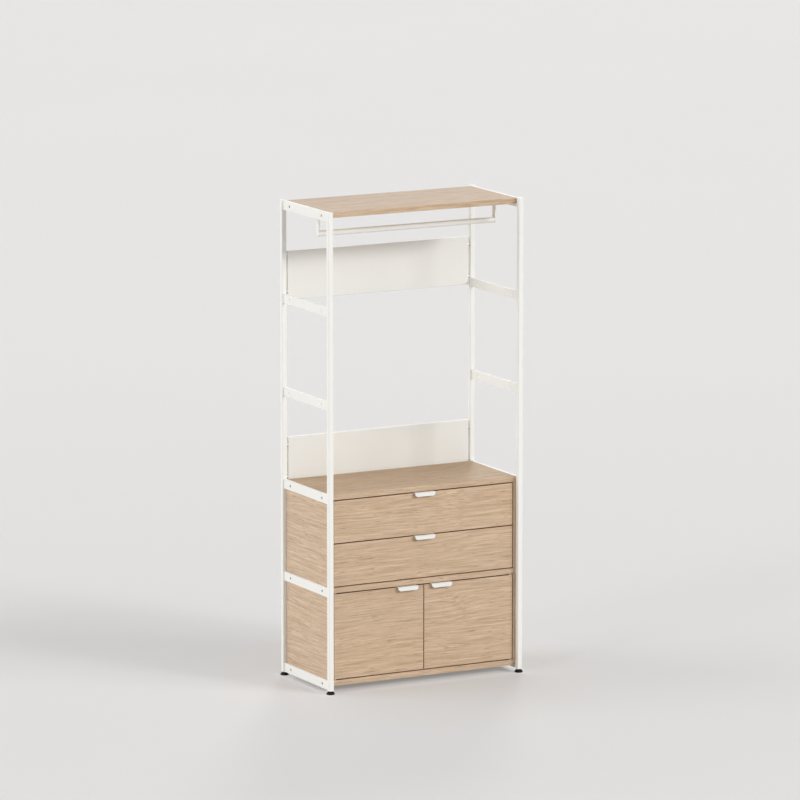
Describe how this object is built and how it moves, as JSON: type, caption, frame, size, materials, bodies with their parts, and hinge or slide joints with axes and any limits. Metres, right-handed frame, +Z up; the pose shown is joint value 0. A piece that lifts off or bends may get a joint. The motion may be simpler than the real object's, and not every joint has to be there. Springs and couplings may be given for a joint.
{
  "type": "open-front wardrobe",
  "caption": "Open-front wardrobe: square-tube ladder frames carry a top shelf, a hanging rail, folded back panels and a low oak cabinet with drawers over doors.",
  "frame": {"origin": "on the floor, at the middle of the wardrobe's width and depth, below the undersides of the feet", "axes": "+X to the right as seen from the open front, -Y out of the open front, +Z up"},
  "size_m": [0.862, 0.422, 1.876],
  "materials": {
    "painted_white": "satin powder coat",
    "oak": "matt lacquered veneer",
    "birch": "matt lacquered plywood",
    "steel": "zinc plated",
    "white_plastic": "moulded",
    "black_plastic": "moulded"
  },
  "bodies": {
    "frame": {"post_front_left": "painted_white", "post_back_left": "painted_white", "post_front_right": "painted_white", "post_back_right": "painted_white", "post_caps": "painted_white", "foot_inserts": "black_plastic", "rails_left": "painted_white", "rails_right": "painted_white", "top_shelf": "oak", "worktop": "oak", "mid_board": "oak", "bottom_board": "oak", "side_panel_upper_left": "oak", "side_panel_upper_right": "oak", "side_panel_lower_left": "oak", "side_panel_lower_right": "oak", "cabinet_backs": "birch", "board_end_plates": "painted_white", "board_bolts": "painted_white", "plate_screws": "steel", "hanging_rail": "painted_white", "rail_strap_left": "painted_white", "rail_strap_right": "painted_white", "strap_screws": "steel", "back_panel_upper": "painted_white", "back_panel_lower": "painted_white", "panel_spacers": "painted_white", "panel_bolts": "steel", "runner_fixed_upper": "steel", "runner_fixed_lower": "steel", "pivot_plates": "steel", "magnet_catches": "white_plastic"},
    "drawer_upper": {"drawer_upper_front": "oak", "drawer_upper_back": "birch", "drawer_upper_bottom": "birch", "drawer_upper_side_left": "birch", "drawer_upper_side_right": "birch", "drawer_upper_pull": "painted_white", "drawer_upper_fittings": "steel", "runner_inner_upper": "steel"},
    "runner_middle_upper": {"runner_middle_upper": "steel"},
    "drawer_lower": {"drawer_lower_front": "oak", "drawer_lower_back": "birch", "drawer_lower_bottom": "birch", "drawer_lower_side_left": "birch", "drawer_lower_side_right": "birch", "drawer_lower_pull": "painted_white", "drawer_lower_fittings": "steel", "runner_inner_lower": "steel"},
    "runner_middle_lower": {"runner_middle_lower": "steel"},
    "door_left": {"door_left": "oak", "door_left_pull": "painted_white", "door_left_fittings": "steel"},
    "door_right": {"door_right": "oak", "door_right_pull": "painted_white", "door_right_fittings": "steel"},
    "foot_front_left": {"foot_front_left": "black_plastic"},
    "foot_back_left": {"foot_back_left": "black_plastic"},
    "foot_front_right": {"foot_front_right": "black_plastic"},
    "foot_back_right": {"foot_back_right": "black_plastic"}
  },
  "joints": [
    {"name": "upper_drawer_slide", "type": "slide", "parent": "frame", "child": "drawer_upper", "axis": [0, -1, 0], "range_m": [0, 0.28]},
    {"name": "upper_runner_slide", "type": "slide", "parent": "frame", "child": "runner_middle_upper", "axis": [0, -1, 0], "range_m": [0, 0.14]},
    {"name": "lower_drawer_slide", "type": "slide", "parent": "frame", "child": "drawer_lower", "axis": [0, -1, 0], "range_m": [0, 0.28]},
    {"name": "lower_runner_slide", "type": "slide", "parent": "frame", "child": "runner_middle_lower", "axis": [0, -1, 0], "range_m": [0, 0.14]},
    {"name": "left_door_hinge", "type": "hinge", "parent": "frame", "child": "door_left", "pos_m": [-0.386, -0.176, 0.221], "axis": [0, 0, -1], "range_deg": [0, 105]},
    {"name": "right_door_hinge", "type": "hinge", "parent": "frame", "child": "door_right", "pos_m": [0.386, -0.176, 0.221], "axis": [0, 0, 1], "range_deg": [0, 105]},
    {"name": "front_left_foot_screw", "type": "slide", "parent": "frame", "child": "foot_front_left", "axis": [0, 0, -1], "range_m": [0, 0.01]},
    {"name": "back_left_foot_screw", "type": "slide", "parent": "frame", "child": "foot_back_left", "axis": [0, 0, -1], "range_m": [0, 0.01]},
    {"name": "front_right_foot_screw", "type": "slide", "parent": "frame", "child": "foot_front_right", "axis": [0, 0, -1], "range_m": [0, 0.01]},
    {"name": "back_right_foot_screw", "type": "slide", "parent": "frame", "child": "foot_back_right", "axis": [0, 0, -1], "range_m": [0, 0.01]}
  ],
  "couplings": [
    {"joint": "upper_runner_slide", "follows": "upper_drawer_slide", "ratio": 0.5},
    {"joint": "lower_runner_slide", "follows": "lower_drawer_slide", "ratio": 0.5}
  ]
}
